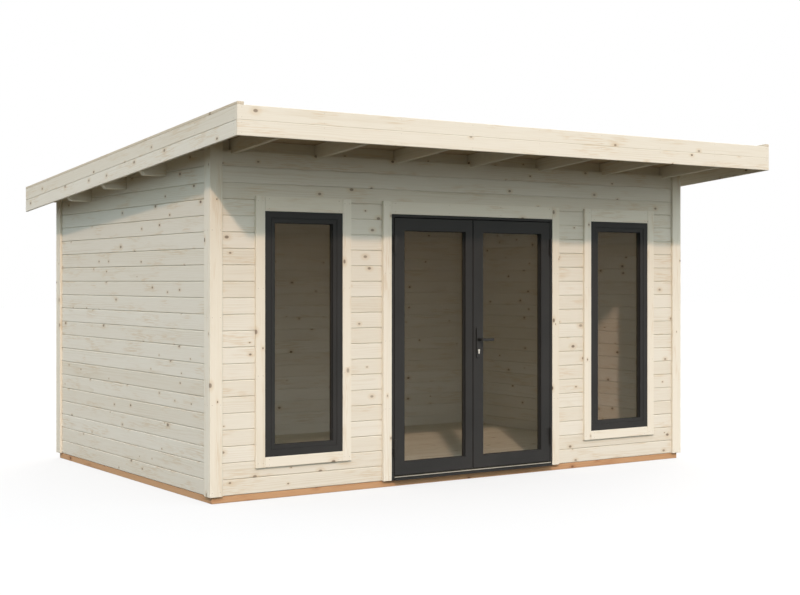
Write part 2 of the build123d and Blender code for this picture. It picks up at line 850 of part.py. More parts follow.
with BuildPart() as handle_lever:
    with BuildSketch(opening_face(spindle_start)):
        with Locations((handle_place, handle_height)):
            Circle(spindle_radius)
    extrude(amount=spindle_start - spindle_end)
    for root, grip in ((plate_front - lever_gap, lever_front), (plate_back + lever_gap, lever_back)):
        with BuildLine(doorway_level(handle_height)) as lever_path:
            FilletPolyline(
                (handle_place, root),
                (handle_place, grip),
                (lever_tip, grip),
                radius=lever_bend,
            )
        with BuildSketch(Plane(lever_path.line @ 0, x_dir=(1, 0, 0), z_dir=lever_path.line % 0)):
            RectangleRounded(lever_thickness, lever_width, lever_round)
        sweep()
    tips = handle_lever.faces().filter_by(Axis.X).group_by(Axis.X)[-1]
    fillet(tips.edges(), radius=lever_tip_round)
handle_lever.part.label = "handle_lever"
export_step(handle_lever.part, "parts/handle_lever.step")

with BuildPart() as lock_cylinder:
    with BuildSketch(opening_face(plate_back + lock_proud)):
        lock_outline(handle_place, lock_height)
    extrude(amount=plate_back - plate_front + 2 * lock_proud)
lock_cylinder.part.label = "lock_cylinder"
export_step(lock_cylinder.part, "parts/lock_cylinder.step")
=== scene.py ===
# %% [markdown]
# # The looks of a timber garden shed
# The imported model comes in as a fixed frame: its solids say where every board, beam and pane sits.
# This lesson puts real boards, figure, paint, glass and fixings on that frame, and never moves it.

# %% Load the frame
import json
import math

import bpy
import numpy as np
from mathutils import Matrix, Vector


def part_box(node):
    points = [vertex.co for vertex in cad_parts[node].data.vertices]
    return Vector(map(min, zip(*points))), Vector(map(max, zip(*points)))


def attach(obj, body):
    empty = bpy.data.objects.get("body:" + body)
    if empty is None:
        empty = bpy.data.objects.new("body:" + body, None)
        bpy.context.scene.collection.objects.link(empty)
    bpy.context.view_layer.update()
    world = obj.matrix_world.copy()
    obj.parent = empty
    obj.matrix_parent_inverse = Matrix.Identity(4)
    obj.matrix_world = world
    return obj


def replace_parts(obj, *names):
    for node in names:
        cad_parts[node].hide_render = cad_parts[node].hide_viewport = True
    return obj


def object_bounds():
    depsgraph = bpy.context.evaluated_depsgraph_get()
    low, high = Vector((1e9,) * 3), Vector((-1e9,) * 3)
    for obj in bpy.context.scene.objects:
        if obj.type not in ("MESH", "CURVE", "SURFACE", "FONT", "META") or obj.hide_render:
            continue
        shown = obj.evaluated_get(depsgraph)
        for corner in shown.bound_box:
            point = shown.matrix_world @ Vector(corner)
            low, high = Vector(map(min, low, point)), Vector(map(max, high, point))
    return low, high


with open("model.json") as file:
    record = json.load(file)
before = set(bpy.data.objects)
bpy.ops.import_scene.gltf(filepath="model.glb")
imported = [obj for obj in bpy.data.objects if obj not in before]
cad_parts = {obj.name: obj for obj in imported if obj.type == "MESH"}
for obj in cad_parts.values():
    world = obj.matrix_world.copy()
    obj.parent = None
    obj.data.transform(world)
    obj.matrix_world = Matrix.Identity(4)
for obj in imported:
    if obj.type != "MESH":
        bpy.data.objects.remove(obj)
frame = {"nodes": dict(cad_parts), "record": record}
cad_low, cad_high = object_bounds()
print("frame of", len(frame["nodes"]), "nodes, size", [round(v, 3) for v in cad_high - cad_low])

# %% [markdown]
# ## Camera
# The photo keeps upright edges upright, so the camera looks level and the frame is shifted a little
# downwards. A tilted camera would need no shift, but its verticals would lean. The numbers come from a fit
# to straight edges.

# %% Camera
image_width, image_height = 800, 595
sensor_width = 36.0
focal_pixels = 1364.43
middle_column, middle_row = 399.106, 281.232
camera_place, camera_turn = (-5.9448, -9.0579, 1.4325), -0.5895
camera_data = bpy.data.cameras.new("camera")
camera_data.sensor_width = sensor_width
camera_data.lens = focal_pixels * sensor_width / image_width
camera_data.shift_x = (image_width / 2 - middle_column) / image_width
camera_data.shift_y = (middle_row - image_height / 2) / image_width
camera_data.clip_end = 500.0
camera = bpy.data.objects.new("camera", camera_data)
camera.location = camera_place
camera.rotation_euler = (math.pi / 2, 0.0, camera_turn)
scene = bpy.context.scene
scene.collection.objects.link(camera)
scene.camera = camera
scene.view_settings.view_transform = "Standard"
print("lens", round(camera_data.lens, 2), "mm")

# %% [markdown]
# ## Shader sums
# A finish is mostly arithmetic on patterns. Wiring Math nodes by hand hides the sum, so one small class
# wraps a socket: its operators add Math nodes, and one method adds any other node with its settings and
# sockets.

# %% A socket that can be summed
class Wire:
    """A node's output socket. Sums of wires and numbers add Math nodes to the tree."""

    def __init__(self, tree, socket=None):
        self.tree, self.socket = tree, socket

    def node(self, kind, settings=None, sockets=None, out=0):
        """Adds a node of this kind: its settings come first, then the values or wires of its sockets."""
        made = self.tree.nodes.new("ShaderNode" + kind)
        for name, value in (settings or {}).items():
            setattr(made, name, value)
        for name, value in (sockets or {}).items():
            if isinstance(value, Wire):
                self.tree.links.new(value.socket, made.inputs[name])
            else:
                made.inputs[name].default_value = value
        return Wire(self.tree, made.outputs[out] if len(made.outputs) else None)

    def out(self, name):
        """Another output of the same node."""
        return Wire(self.tree, self.socket.node.outputs[name])

    def math(self, operation, *values):
        return self.node("Math", {"operation": operation}, dict(enumerate(values)))

    def __add__(self, other):
        return self.math("ADD", self, other)

    def __sub__(self, other):
        return self.math("SUBTRACT", self, other)

    def __rsub__(self, other):
        return self.math("SUBTRACT", other, self)

    def __mul__(self, other):
        return self.math("MULTIPLY", self, other)

    def __truediv__(self, other):
        return self.math("DIVIDE", self, other)

    def __pow__(self, other):
        return self.math("POWER", self, other)

    __radd__, __rmul__ = __add__, __mul__

    def between(self, low, high):
        """0 at low, 1 at high, with a soft S-shaped rise from one to the other."""
        settings = {"interpolation_type": "SMOOTHSTEP"}
        return self.node("MapRange", settings, {"Value": self, "From Min": low, "From Max": high})

    def scaled(self, x, y, z):
        """A vector whose three parts are stretched on their own."""
        return self.node("VectorMath", {"operation": "MULTIPLY"}, {0: self, 1: (x, y, z)})

    def noise(self, scale=1.0, detail=2.0):
        return self.node("TexNoise", {}, {"Vector": self, "Scale": scale, "Detail": detail})

    def mix(self, first, second):
        """The second colour where this wire is 1, the first where it is 0."""
        return self.node("Mix", {"data_type": "RGBA"}, {0: self, 6: first, 7: second}, out=2)


def new_finish(name):
    """An empty material and a wire to start its tree from."""
    material = bpy.data.materials.new(name)
    material.use_nodes = True
    material.node_tree.nodes.clear()
    return material, Wire(material.node_tree)


def close_finish(start, height=None, relief=0.0, **sockets):
    """Ends a tree in one Principled shader, with a bump of that relief in metres where a height is given."""
    named = {name.replace("_", " "): value for name, value in sockets.items()}
    if height is not None:
        named["Normal"] = start.node("Bump", {}, {"Height": height, "Distance": relief})
    shader = start.node("BsdfPrincipled", {}, named)
    start.node("OutputMaterial", {}, {"Surface": shader})


def rgb(red, green, blue):
    """A colour with an alpha of 1 from its sRGB parts of 0 to 255, turned to linear light."""
    parts = np.array([red, green, blue]) / 255
    linear = np.where(parts < 0.04045, parts / 12.92, ((parts + 0.055) / 1.055) ** 2.4)
    return (*linear.tolist(), 1.0)


# %% [markdown]
# ## Light and floor
# A key light from the front left throws the soft shadow of the eaves over the front wall. A wide fill from
# the front and a soft dome, brightest overhead, light the rest, so that the shade deepens towards the eaves
# and in every corner, and a second fill shows the back. A lamp close by would spread the shadow's edges, so
# suns with some width are the plain choice. The floor is pale where it is looked at and keeps the shadow,
# but it throws little light upwards, so that undersides stay deep.

# %% Lamps
def lamp(name, kind, energy, colour, **settings):
    """A new lamp in the scene, with any further settings by name."""
    data = bpy.data.lights.new(name, kind)
    data.energy, data.color = energy, colour
    for key, value in settings.items():
        setattr(data, key, value)
    made = bpy.data.objects.new(name, data)
    scene.collection.objects.link(made)
    return made


def aim(made, direction):
    """Turns a lamp, which shines along its own -Z, to shine along this direction."""
    x, y, z = direction
    made.rotation_euler = (math.acos(-z / math.dist(direction, (0, 0, 0))), 0.0, math.atan2(-x, y))


key_light = lamp("key_light", "SUN", 1.58, (1.0, 0.71, 0.54), angle=math.radians(2.5))
aim(key_light, (0.46, 0.75, -0.56))
front_fill = lamp("front_fill", "SUN", 1.33, (1.0, 0.93, 0.84), angle=math.radians(110))
aim(front_fill, (-0.35, 0.6, -0.8))
back_fill = lamp("back_fill", "SUN", 1.5, (1.0, 0.80, 0.65), angle=math.radians(40))
aim(back_fill, (-0.6, -0.6, -0.5))


# %% World
def seen(start):
    """1 for rays that show the background itself: straight from the camera, mirrored or through glass."""
    path = start.node("LightPath")
    straight = path.math("MAXIMUM", path.out("Is Camera Ray"), path.out("Is Glossy Ray"))
    return path.math("MAXIMUM", straight, path.out("Is Transmission Ray"))


world = bpy.data.worlds.new("soft_dome")
world.use_nodes = True
world.node_tree.nodes.clear()
start = Wire(world.node_tree)
upwards = start.node("SeparateXYZ", {}, {0: start.node("TexCoord", out="Generated")}, out="Z")
low_light, overhead_light, white = (0.85, 0.975, 0.965, 1), (0.90, 1.06, 1.22, 1), (1, 1, 1, 1)
dome = upwards.between(-0.1, 1.1).mix(low_light, overhead_light)
even = start.node("Background", {}, {"Color": seen(start).mix(dome, white)})
start.node("OutputWorld", {}, {"Surface": even})
scene.world = world
print("world:", world.name, "with", len(world.node_tree.nodes), "nodes")

# %% Floor
floor_reach = 60.0
floor_mesh = bpy.data.meshes.new("studio_floor")
floor_mesh.from_pydata(
    [(-floor_reach, -floor_reach, 0), (floor_reach, -floor_reach, 0), (floor_reach, floor_reach, 0),
     (-floor_reach, floor_reach, 0)], [], [(0, 1, 2, 3)])
studio_floor = bpy.data.objects.new("studio_floor", floor_mesh)
scene.collection.objects.link(studio_floor)
floor_finish, start = new_finish("pale_floor")
bounce = start.node("BsdfDiffuse", {}, {"Color": (0.060, 0.050, 0.032, 1)})
shaded = start.node("BsdfDiffuse", {}, {"Color": (0.2, 0.2, 0.2, 1)})
paper = start.node("AddShader", {}, {0: shaded, 1: start.node("Emission", {}, {"Strength": 0.73})})
shown = start.node("MixShader", {}, {0: seen(start), 1: bounce, 2: paper})
start.node("OutputMaterial", {}, {"Surface": shown})
floor_mesh.materials.append(floor_finish)
print("floor:", 2 * floor_reach, "m square")

# %% [markdown]
# ## Softwood
# Planed spruce is pale, with narrow darker lines where a board cuts the year rings, fine fibres, warm flecks
# and small dark knots round which the lines bend. A picture of wood would repeat and stretch. Here every
# board carries its own wood coordinates: metres along it, across it and into it from a made-up pith, so
# rings run right round it.

# %% Wood finish
def softwood(name, pale, late, fleck, knot, contrast=1.0):
    """Year rings as the fraction of a wavering distance from the pith, plus fibres, flecks and knots."""
    material, start = new_finish(name)
    grain = start.node("Attribute", {"attribute_name": "grain"}, out="Vector")
    tone = start.node("Attribute", {"attribute_name": "tone"}, out="Fac")
    parts = start.node("SeparateXYZ", {}, {0: grain})
    across, into = parts.out("Y"), parts.out("Z")

    knot_spacing = 0.17
    sockets = {"Vector": grain.scaled(0.65, 1, 1), "Scale": 1 / knot_spacing}
    cells = start.node("TexVoronoi", {"voronoi_dimensions": "2D"}, sockets, out="Distance")
    pick = start.node("SeparateColor", {}, {0: cells.out("Color")})
    radius = pick.out("Green") * 0.008 + 0.0035
    away = cells * knot_spacing / radius
    present = start.math("GREATER_THAN", pick.out("Red"), 0.52)
    core = present * away.between(1.2, 0.6) * (0.5 + 0.45 * pick.out("Blue"))
    halo = present * away.between(3.5, 0.9)

    rings_per_metre = 105.0
    waver = grain.scaled(1.1, 7.0, 7.0).noise(1.0, 3.0)
    reach = (across * across + into * into) ** 0.5 + waver * 0.030 + halo * 0.007
    rings = start.math("FRACT", reach * rings_per_metre)
    lines = rings.between(0.35, 1.0) * grain.scaled(0.9, 12.0, 12.0).noise(1.0, 1.0).between(0.4, 0.75)
    fibres = grain.scaled(5.0, 260.0, 260.0).noise(1.0, 2.0)
    patch = grain.scaled(2.6, 11.0, 11.0).noise(1.0, 2.0).between(0.5, 0.68)
    warm = patch * grain.scaled(9.0, 110.0, 110.0).noise(1.0, 2.0).between(0.42, 0.62)

    shade = (lines * 0.34 + fibres.between(0.35, 0.75) * 0.16 + tone * 0.28) * contrast
    colour = shade.mix(pale, late)
    colour = (warm * 0.45 * contrast).mix(colour, fleck)
    colour = (halo * 0.4).mix(colour, fleck)
    colour = core.mix(colour, knot)
    close_finish(
        start, height=lines * 0.5 + fibres * 0.5 - core * 0.3, relief=0.0005,
        Base_Color=colour, Roughness=0.62 + fibres * 0.16 - core * 0.15, Specular_IOR_Level=0.12)
    return material


# %% Six softwoods: pale, late wood, fleck and knot
pale_knot = rgb(106, 88, 72)
spruce = softwood("spruce", rgb(234, 231, 221), rgb(210, 200, 179), rgb(209, 189, 158), pale_knot)
planed_spruce = softwood(
    "planed_spruce", rgb(239, 235, 223), rgb(217, 207, 186), rgb(212, 192, 162), pale_knot, contrast=0.8)
# The caps' colours are a little darker than the other trim's. This is painted shade, held down so that their
# sunlit tops stay below white.
cap_timber = softwood(
    "cap_timber", rgb(217, 208, 191), rgb(194, 181, 158), rgb(186, 166, 138), rgb(96, 80, 64))
# The deck is seen only from below, in the shade of the eaves. Its colours are darker and browner than the
# spruce's, and that difference is painted shade.
roof_timber = softwood(
    "roof_timber", rgb(204, 187, 160), rgb(170, 148, 117), rgb(172, 144, 110), rgb(76, 58, 44))
treated_timber = softwood(
    "treated_timber", rgb(206, 166, 128), rgb(170, 122, 86), rgb(166, 114, 78), rgb(84, 54, 38))
floor_boards = softwood(
    "floor_boards", rgb(227, 225, 209), rgb(200, 192, 169), rgb(200, 184, 154), rgb(90, 70, 56))
softwoods = (spruce, planed_spruce, cap_timber, roof_timber, treated_timber, floor_boards)
print("softwoods:", [wood.name for wood in softwoods])

# %% [markdown]
# ## Surfaces from arrays
# All new pieces go through one door: points and faces arrive as whole arrays and land in a mesh at the
# origin. A closed surface has a signed volume, so a piece that came out inside out is noticed and turned.

# %% Arrays into a mesh
def surface(name, points, faces, finish, slot, body="shed", **values):
    """A closed mesh from points (n, 3) and blocks of faces (m, k), with point attributes by name.

    Its signed volume is a sixth of the sum of triple products over each face's fan of triangles.
    """
    blocks = [np.asarray(block) for block in faces]
    volume = sum(
        np.einsum("ij,ij->", points[b[:, 0]], np.cross(points[b[:, k]], points[b[:, k + 1]]))
        for b in blocks for k in range(1, b.shape[1] - 1)) / 6
    blocks = [b[:, ::-1] for b in blocks] if volume < 0 else blocks
    sizes = np.concatenate([np.full(len(b), b.shape[1]) for b in blocks])
    mesh = bpy.data.meshes.new(name)
    mesh.vertices.add(len(points))
    mesh.loops.add(int(sizes.sum()))
    mesh.polygons.add(len(sizes))
    mesh.vertices.foreach_set("co", points.astype(np.float32).ravel())
    mesh.loops.foreach_set("vertex_index", np.concatenate([b.ravel() for b in blocks]).astype(np.int32))
    mesh.polygons.foreach_set("loop_start", (np.cumsum(sizes) - sizes).astype(np.int32))
    mesh.polygons.foreach_set("use_smooth", np.zeros(len(sizes), bool))
    for key, value in values.items():
        kind, field = ("FLOAT_VECTOR", "vector") if value.ndim == 2 else ("FLOAT", "value")
        mesh.attributes.new(key, kind, "POINT").data.foreach_set(field, value.astype(np.float32).ravel())
    mesh.update(calc_edges=True)
    mesh.materials.append(finish)
    piece = bpy.data.objects.new(name, mesh)
    scene.collection.objects.link(piece)
    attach(piece, body)
    print(f"{name}: {len(points)} points, {len(sizes)} faces, {abs(volume):.4f} m3")
    return piece


# %% [markdown]
# ## Boards
# Every timber of the shed is a sawn length: one outline carried along a straight line. The outline has eased
# edges, or the grooved edges of wall boards. Cutting each by hand would take long, so an array of corners
# makes them all.

# %% Outlines of a board
def outline(path):
    """Repeats one corner's path of (width, depth) offsets at all four corners, mirrored, going once round."""
    path = np.asarray(path, float)
    corners = [(0, 0, 1, 1), (1, 0, -1, 1), (1, 1, -1, -1), (0, 1, 1, -1)]
    rows = []
    for high, back, turn_width, turn_depth in corners:
        steps = path if turn_width * turn_depth > 0 else path[::-1]
        place = np.full((len(steps), 2), (high, back))
        rows.append(np.hstack([place, steps * (turn_width, turn_depth)]))
    return np.vstack(rows)


def eased(radius, steps=3):
    """A corner rounded by a quarter circle: 1 - cos across, 1 - sin deep."""
    turn = np.linspace(0, math.pi / 2, steps)
    return outline(radius * np.stack([1 - np.cos(turn), 1 - np.sin(turn)], axis=1))


def grooved(bevel, gap, sunk):
    """A bevelled edge with a narrow slot behind it, down to where neighbouring boards meet."""
    return outline([(0, sunk), (gap, sunk), (gap, bevel), (bevel + gap, 0)])


# %% Many boards at once
draw = np.random.default_rng(41)
along_range, pith_aside, pith_depth, pith_spread = 90, 0.16, 0.05, 0.09


def boards(name, lows, highs, axes, profile, finish, slot, ease=0.0, stations=None, drops=0.0, lifts=0.0,
           warp=None, **kept):
    """An outline carried along each board: point = low + share of the width and depth + the outline's offset.

    axes gives the directions of length, width and depth. Stations are places along the length, where drops
    lower the upper edge and lifts raise the lower edge. Ease draws the outline in at the two end stations.
    """
    along, wide, deep = axes
    lows, highs = np.atleast_2d(lows).astype(float), np.atleast_2d(highs).astype(float)
    if stations is None:
        share = np.array([0.0, 0.0, 1.0, 1.0]) if ease else np.array([0.0, 1.0])
        shift = np.array([0.0, ease, -ease, 0.0]) if ease else np.zeros(2)
        stations = lows[:, None, along] + share * (highs - lows)[:, None, along] + shift
    pull = np.zeros(stations.shape[1])
    pull[[0, -1]] = ease
    high, back, off_wide, off_deep = profile.T
    count, places, spots = len(lows), stations.shape[1], len(profile)
    points = np.zeros((count, places, spots, 3))
    points[..., along] = stations[:, :, None]
    inward = pull[None, :, None]
    shape = (count, places)
    drops, lifts = np.broadcast_to(drops, shape)[..., None], np.broadcast_to(lifts, shape)[..., None]
    points[..., wide] = (lows[:, None, None, wide] + high * (highs - lows)[:, None, None, wide] + off_wide
                         + (1 - 2 * high) * inward - high * drops + (1 - high) * lifts)
    points[..., deep] = (lows[:, None, None, deep] + back * (highs - lows)[:, None, None, deep] + off_deep
                         + (1 - 2 * back) * inward)
    chance = draw.random((count, 4))[:, None, None, :]
    middle = ((lows + highs) / 2)[:, None, None, :]
    grain = np.stack(np.broadcast_arrays(
        points[..., along] + along_range * chance[..., 0],
        points[..., wide] - middle[..., wide] + pith_aside * (chance[..., 1] - 0.5),
        points[..., deep] - middle[..., deep] + pith_depth + pith_spread * chance[..., 2]), axis=-1)
    tone = np.broadcast_to(chance[..., 3], (count, places, spots))
    if warp is not None:
        points = warp(points)
    index = np.arange(count * places * spots).reshape(count, places, spots)
    onward = np.roll(index, -1, axis=2)
    sides = np.stack([index[:, :-1], onward[:, :-1], onward[:, 1:], index[:, 1:]], axis=-1).reshape(-1, 4)
    faces = [sides, index[:, 0, ::-1], index[:, -1]]
    return surface(name, points.reshape(-1, 3), faces, finish, slot,
                   grain=grain.reshape(-1, 3), tone=tone.ravel(), **kept)


# %% [markdown]
# ## Reading the solids
# Several like solids share one node of the frame, so a helper parts them and gives each one's box.
# The roof falls towards the back, so for sloping timbers the fall is first taken out and put back at the end.

# %% Boxes of a node's solids
roof_front = float(cad_low.y)
roof_fall = 0.0768


def level(points):
    """Takes the roof's fall out: every point rises by the fall times its distance from the front edge."""
    points = points.copy()
    points[..., 2] += roof_fall * (points[..., 1] - roof_front)
    return points


def slope(points):
    """Puts the roof's fall back."""
    points = points.copy()
    points[..., 2] -= roof_fall * (points[..., 1] - roof_front)
    return points


def solid_boxes(node, sloped=False):
    """Low and high corners of each separate solid.

    The corners of a triangle share their lowest label, again and again until none changes.
    """
    mesh = frame["nodes"][node].data
    points = np.zeros(len(mesh.vertices) * 3, np.float32)
    mesh.vertices.foreach_get("co", points)
    points = points.reshape(-1, 3).astype(float)
    corners = np.zeros(len(mesh.loops), np.int32)
    mesh.loops.foreach_get("vertex_index", corners)
    spots, same = np.unique(points.round(5), axis=0, return_inverse=True)
    triangles = same.ravel()[corners].reshape(-1, 3)
    label = np.arange(len(spots))
    while True:
        lowest = label.copy()
        np.minimum.at(lowest, triangles, label[triangles].min(axis=1, keepdims=True))
        if (lowest == label).all():
            break
        label = lowest
    spots = level(spots) if sloped else spots
    groups = [spots[label == k] for k in np.unique(label)]
    return np.array([g.min(axis=0) for g in groups]), np.array([g.max(axis=0) for g in groups])


# %% [markdown]
# ## Wall boards
# The walls are horizontal boards that cover 107 mm each, with a small bevel along both edges. The bevels and
# the slot behind them draw the thin dark seam. A panel with grooves in its bump would look flat at the
# corners, so every course is a real board, as thick as the wall, with the same face on the room's side.

# %% Courses and openings
board_cover = 0.1068
first_seam = 0.042
most_courses = 40
least_strip, least_height = 0.02, 0.012
wall_profile = grooved(bevel=0.0034, gap=0.0014, sunk=0.008)


def course_edges(foot, top):
    """Seam heights between foot and top, ends included."""
    seams = first_seam + board_cover * np.arange(most_courses)
    within = (seams > foot + least_strip) & (seams < top - least_strip)
    return np.concatenate([[foot], seams[within], [top]])


def cut_courses(left, right, edges, openings):
    """Spans (left, right, low, high) of each board, with what an opening takes out left away."""
    spans = []
    for low, high in zip(edges[:-1], edges[1:]):
        met = [o for o in openings if o[2] < high - 1e-6 and o[3] > low + 1e-6]
        cuts = sorted({left, right, *(x for o in met for x in o[:2])})
        for start, end in zip(cuts[:-1], cuts[1:]):
            foot, top = low, high
            for o in met:
                if o[0] < (start + end) / 2 < o[1]:
                    foot, top = (low, o[2]) if o[2] > low else (o[3], high)
            if top - foot > least_height:
                spans.append((start, end, foot, top))
    return np.array(spans)


# %% Front and back walls
front_low, front_high = map(np.array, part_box("front_wall_head"))
left_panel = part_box("front_wall_left")
left_frame, right_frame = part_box("left_window_frame"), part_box("right_window_frame")
door_left, door_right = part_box("door_jambs")[0].x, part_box("door_jambs")[1].x
wall_foot = left_panel[0].z
openings = [(f[0].x, f[1].x, f[0].z, f[1].z) for f in (left_frame, right_frame)]
openings.append((door_left, door_right, 0.0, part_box("door_jambs")[1].z))
spans = cut_courses(front_low[0], front_high[0], course_edges(wall_foot, front_high[2]), openings)


def wall_corners(spans, near, far):
    """Low and high corners of boards that run along X between two depths."""
    lows = np.stack([spans[:, 0], np.full(len(spans), near), spans[:, 2]], axis=1)
    highs = np.stack([spans[:, 1], np.full(len(spans), far), spans[:, 3]], axis=1)
    return lows, highs


front_wall = boards("front_wall_boards", *wall_corners(spans, front_low[1], front_high[1]), (0, 2, 1),
                    wall_profile, spruce, "spruce")
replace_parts(front_wall, "front_wall_left", "front_wall_right", "front_wall_head")
back_low, back_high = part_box("back_wall")
room_for_fall = 0.004
spans = cut_courses(back_low.x, back_high.x, course_edges(back_low.z, back_high.z - room_for_fall), [])
back_wall = boards("back_wall_boards", *wall_corners(spans, back_low.y, back_high.y), (0, 2, 1),
                   wall_profile, spruce, "spruce")
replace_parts(back_wall, "back_wall")

# %% Side walls, cut to the roof
deck_under = solid_boxes("roof_deck", sloped=True)[0][0, 2]
end_margin, least_length = 0.002, 0.05


def deck_height(y):
    """Height of the deck's underside at this depth: its front height - fall * (y - front)."""
    return deck_under - roof_fall * (y - roof_front)


def meets_deck(z):
    """Depth at which the deck's underside comes down to this height."""
    return roof_front + (deck_under - z) / roof_fall


def side_wall(name, node):
    """Boards along Y whose upper edge follows the deck's underside where that is lower."""
    low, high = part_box(node)
    edges = course_edges(low.z, high.z)
    feet, tops = edges[:-1], edges[1:]
    bends = np.clip(meets_deck(tops), low.y + end_margin, high.y - end_margin)
    ends = np.clip(meets_deck(feet + least_height), low.y + 2 * end_margin, high.y)
    keep = ends > low.y + least_length
    stations = np.stack([np.full(len(feet), low.y), bends, ends], axis=1)[keep]
    feet, tops = feet[keep], tops[keep]
    drops = np.clip(tops[:, None] - deck_height(stations), 0, None)
    lows = np.stack([np.full(len(feet), low.x), np.full(len(feet), low.y), feet], axis=1)
    highs = np.stack([np.full(len(feet), high.x), np.full(len(feet), high.y), tops], axis=1)
    piece = boards(name, lows, highs, (1, 2, 0), wall_profile, spruce, "spruce",
                   stations=stations, drops=drops)
    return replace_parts(piece, node)


side_wall("left_wall_boards", "left_wall")
side_wall("right_wall_boards", "right_wall")

# %% [markdown]
# ## Trim
# Corner boards, casings, fascia and barge boards are planed and have eased edges that catch a thin line of
# light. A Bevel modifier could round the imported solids, but they carry no wood coordinates, so each board is
# made again in its solid's box. The roof's own boards slope with it.

# %% Trim boards
end_share = 0.6


def trim(node, axes, finish=spruce, slot="spruce", radius=0.003, sloped=False, **more):
    """Boards with eased edges in the place of each solid of a node."""
    lows, highs = solid_boxes(node, sloped)
    piece = boards(node + "_timber", lows, highs, axes, eased(radius), finish, slot, ease=end_share * radius,
                   warp=slope if sloped else None, **more)
    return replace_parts(piece, node)


upright_x, upright_y, lying_x, lying_y = (2, 0, 1), (2, 1, 0), (0, 2, 1), (1, 2, 0)
trim("front_back_corner_boards", upright_x, planed_spruce)
trim("side_corner_boards", upright_y, planed_spruce)
trim("window_side_casings", upright_x, planed_spruce)
trim("window_cross_casings", lying_x, planed_spruce)
trim("door_side_casings", upright_x, planed_spruce)
trim("door_head_casing", lying_x, planed_spruce)
trim("front_fascia", lying_x, sloped=True)
trim("back_fascia", lying_x, sloped=True)
trim("barge_boards", lying_y, sloped=True)
trim("barge_caps", (1, 0, 2), cap_timber, sloped=True, radius=0.002)

# %% [markdown]
# ## Base, floor and roof timbers
# The shed stands on treated beams with joists between them. Over the walls lie rafters that taper at the
# back, with blocks between them, and short lookouts with a chamfered end carry the roof's sides. A tapered
# timber could be cut with a Boolean, but then its wood coordinates would be lost at the cut, so the outline
# is lifted at places along the board. Floor and roof deck are narrow boards side by side.

# %% Beams, joists and eaves blocks
trim("base_long_beams", lying_x, treated_timber, "treated_timber", radius=0.004)
trim("base_end_beams", lying_y, treated_timber, "treated_timber", radius=0.004)
trim("floor_joists", lying_y, treated_timber, "treated_timber", radius=0.003)
trim("eaves_blocks", lying_x, spruce, "roof_timber", sloped=True)

# %% Rafters that taper at the back, and lookouts with a chamfered end
lows, highs = solid_boxes("rafters", sloped=True)
body_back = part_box("front_back_corner_boards")[1].y
tail_rise = solid_boxes("back_fascia", sloped=True)[0][0, 2] - lows[0, 2]
stations = np.stack([lows[:, 1], np.full(len(lows), body_back), highs[:, 1]], axis=1)
trim("rafters", lying_y, spruce, "roof_timber", sloped=True, stations=stations, lifts=[0.0, 0.0, tail_rise])
lows, highs = solid_boxes("lookouts", sloped=True)
chamfer = 0.030
stations = np.stack([lows[:, 0], lows[:, 0] + chamfer, highs[:, 0] - chamfer, highs[:, 0]], axis=1)
outer = np.where((lows[:, 0] < 0)[:, None], [chamfer, 0.0, 0.0, 0.0], [0.0, 0.0, 0.0, chamfer])
trim("lookouts", lying_x, spruce, "roof_timber", sloped=True, stations=stations, lifts=outer)
print("rafter tails rise", round(tail_rise, 3), "m")


# %% Floor and roof deck
def boarded(node, cover, axes, finish, slot, sloped=False):
    """A flat node divided into boards of about that cover, side by side along the width direction."""
    low, high = [c[0] for c in solid_boxes(node, sloped)]
    along, wide, deep = axes
    edges = np.linspace(low[wide], high[wide], int(round((high[wide] - low[wide]) / cover)) + 1)
    lows, highs = np.tile(low, (len(edges) - 1, 1)), np.tile(high, (len(edges) - 1, 1))
    lows[:, wide], highs[:, wide] = edges[:-1], edges[1:]
    piece = boards(node + "_boards", lows, highs, axes, grooved(0.002, 0.0008, 0.006), finish, slot,
                   warp=slope if sloped else None)
    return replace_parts(piece, node)


boarded("floor", 0.088, (0, 1, 2), floor_boards, "floor_boards")
# The deck's darker colours are painted shade of the soffit.
boarded("roof_deck", 0.096, (0, 1, 2), roof_timber, "roof_timber", sloped=True)

# %% [markdown]
# ## Paint, metal, felt and glass
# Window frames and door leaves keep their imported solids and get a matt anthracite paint, the fittings a
# blackened or bright metal. A single flat colour would look like plastic, so each finish drifts a little in
# colour and has a fine skin in roughness and bump. Felt is dark with pale grit, and a little streaked by
# rain down the fall. The panes could be a refracting glass, but that would take the light from the room
# behind, so they are thin and mostly clear.

# %% Paint and metal
def coated(name, colour, lighter, rough, relief, scale, **fixed):
    """A colour that drifts a little over the surface, with a fine skin in roughness and bump."""
    material, start = new_finish(name)
    place = start.node("TexCoord", out="Object")
    drift = place.noise(3.0, 3.0)
    skin = place.noise(scale, 3.0)
    colour = (drift.between(0.3, 0.7) * 0.7 + skin * 0.3).mix(colour, lighter)
    close_finish(start, height=skin, relief=relief, Base_Color=colour,
                 Roughness=rough + (skin - 0.5) * 0.25 + (drift - 0.5) * 0.1, **fixed)
    return material


anthracite_paint = coated("anthracite_paint", rgb(50, 51, 51), rgb(57, 57, 57), 0.45, 0.0002, 420.0,
                          Specular_IOR_Level=0.08)
black_metal = coated("black_metal", rgb(27, 27, 26), rgb(37, 37, 36), 0.42, 0.0001, 900.0,
                     Specular_IOR_Level=0.3)
lock_steel = coated("lock_steel", rgb(188, 184, 174), rgb(212, 207, 196), 0.28, 0.00005, 1200.0, Metallic=1.0)
aluminium = coated("threshold_aluminium", rgb(176, 172, 158), rgb(200, 196, 182), 0.45, 0.00005, 700.0,
                   Metallic=1.0)
print("coated:", [m.name for m in (anthracite_paint, black_metal, lock_steel, aluminium)])

